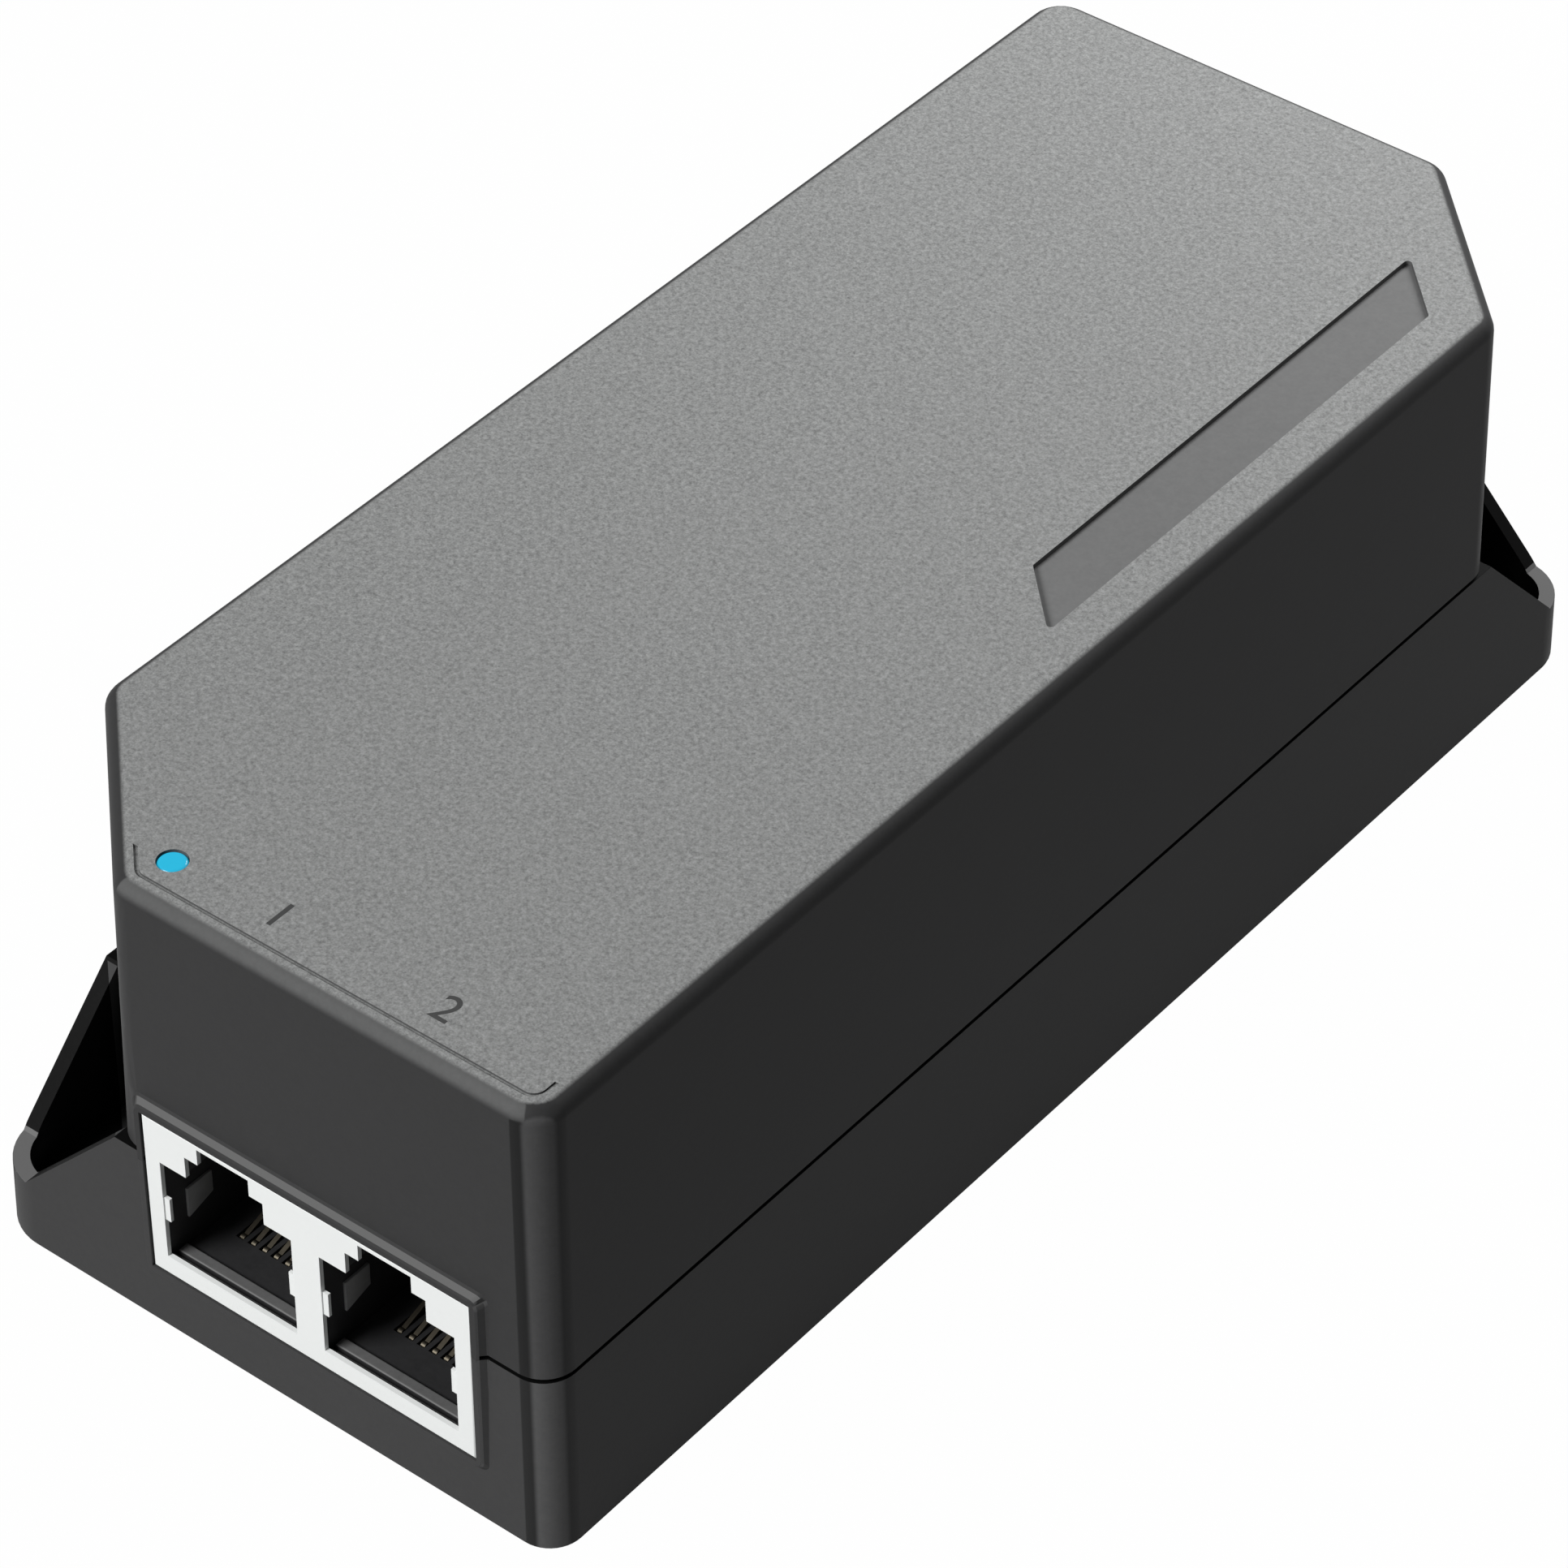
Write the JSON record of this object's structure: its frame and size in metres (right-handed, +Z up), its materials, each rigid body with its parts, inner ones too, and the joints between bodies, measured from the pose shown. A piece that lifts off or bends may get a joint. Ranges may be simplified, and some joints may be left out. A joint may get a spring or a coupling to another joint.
{
  "type": "poe injector",
  "caption": "Slim moulded power injector with sloping corners, two screw ears, twin network sockets at one end and a mains inlet at the other.",
  "frame": {"origin": "centre of the underside, on the surface that the case stands on", "axes": "+Z up; -Y is the end with the two network sockets, +Y the end with the mains inlet; X across the case"},
  "size_m": [0.0508, 0.1204, 0.0386],
  "materials": {
    "case_dark": "fine moulded texture",
    "cover_grey": "speckled spark-erosion texture on top, smooth dark sides",
    "steel_screw": "zinc plated",
    "board_green": "green solder mask",
    "clear_sheet": "thin amber film",
    "label_silver": "blank matt foil",
    "bezel_white": "satin white",
    "socket_black": "fine matt",
    "contact_gold": "gold flash",
    "blade_nickel": "bright nickel",
    "light_blue": "lit blue light guide",
    "lamp_white": "white lamp body",
    "part_black": "moulded epoxy",
    "disc_blue": "dipped epoxy",
    "capacitor_yellow": "moulded box",
    "ferrite": "fired ferrite",
    "copper_wire": "enamelled copper wire",
    "can_black": "shrink sleeve on aluminium",
    "winding_tape": "yellow polyester tape",
    "sink_aluminium": "mill finish"
  },
  "bodies": {
    "case": {"base_tray": "case_dark", "blank_label": "label_silver", "board_screws": "steel_screw", "bridge_rectifier": "part_black", "case_screws": "steel_screw", "circuit_board": "board_green", "contact_carrier_1": "socket_black", "contact_carrier_2": "socket_black", "contact_tails": "contact_gold", "feedback_coupler": "part_black", "filter_capacitor": "capacitor_yellow", "filter_choke_core": "ferrite", "filter_choke_winding": "copper_wire", "inlet_blades": "blade_nickel", "inlet_housing": "socket_black", "insulation_sheet": "clear_sheet", "jack_housing": "socket_black", "light_pipe": "light_blue", "line_transformer": "part_black", "mains_capacitor": "can_black", "mains_fuse": "part_black", "output_capacitors": "can_black", "output_choke_core": "ferrite", "output_choke_winding": "copper_wire", "output_rectifier": "part_black", "port_bezel": "bezel_white", "port_controller": "part_black", "power_controller": "part_black", "rectifier_heat_sink": "sink_aluminium", "safety_capacitor": "disc_blue", "status_lamp": "lamp_white", "surge_varistor": "disc_blue", "switch_heat_sink": "sink_aluminium", "switch_transistor": "part_black", "top_cover": "cover_grey", "transformer_bobbin": "part_black", "transformer_core": "ferrite", "transformer_winding": "winding_tape"},
    "contacts_1": {"contact_springs_1": "contact_gold"},
    "contacts_2": {"contact_springs_2": "contact_gold"}
  },
  "joints": [
    {"name": "contact_flex_1", "type": "hinge", "parent": "case", "child": "contacts_1", "pos_m": [-0.00218, -0.05509, 0.00662], "axis": [-1, 0, 0], "range_deg": [0, 8], "stiffness_Nm_per_rad": 0.004},
    {"name": "contact_flex_2", "type": "hinge", "parent": "case", "child": "contacts_2", "pos_m": [0.01179, -0.05509, 0.00662], "axis": [-1, 0, 0], "range_deg": [0, 8], "stiffness_Nm_per_rad": 0.004}
  ]
}
